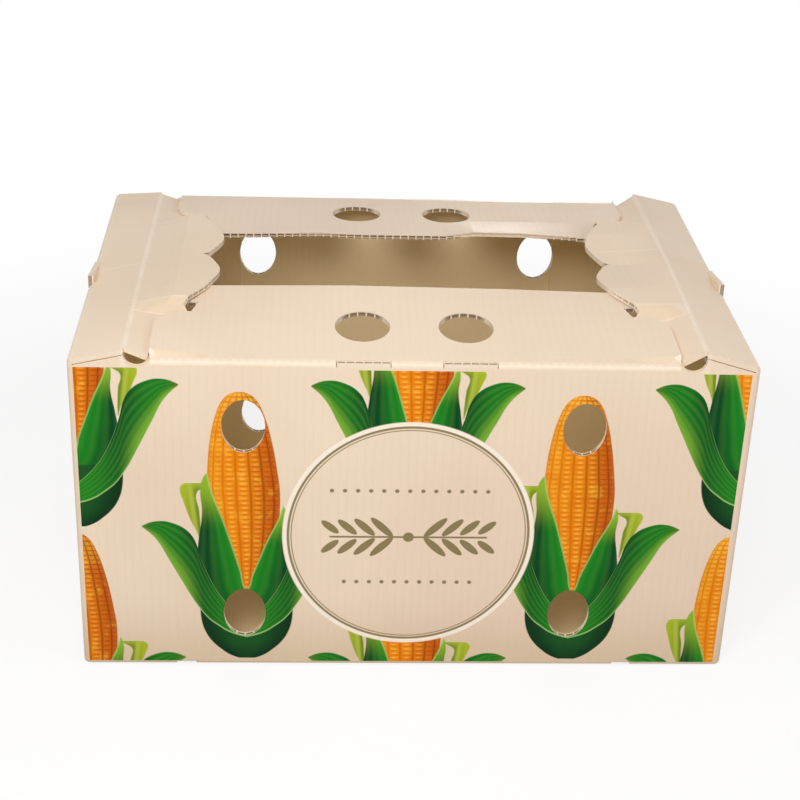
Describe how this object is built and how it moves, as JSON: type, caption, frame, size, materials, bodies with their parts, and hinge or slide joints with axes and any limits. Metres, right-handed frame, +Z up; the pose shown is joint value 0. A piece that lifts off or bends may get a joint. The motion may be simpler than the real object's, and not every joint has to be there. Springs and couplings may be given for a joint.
{
  "type": "plastic packing box",
  "caption": "Folded produce box of fluted plastic sheet, with oval vents in its long walls and top flaps that lock into each other round an open mouth.",
  "frame": {"origin": "middle of the underside", "axes": "+X along the box's length, -Y out of the printed front wall, +Z up through the open mouth"},
  "size_m": [0.5, 0.338, 0.2764],
  "materials": {
    "sheet": "cream fluted polypropylene, softly shiny, printed on the long walls"
  },
  "bodies": {
    "root": {"folded_box": "sheet"}
  },
  "joints": []
}
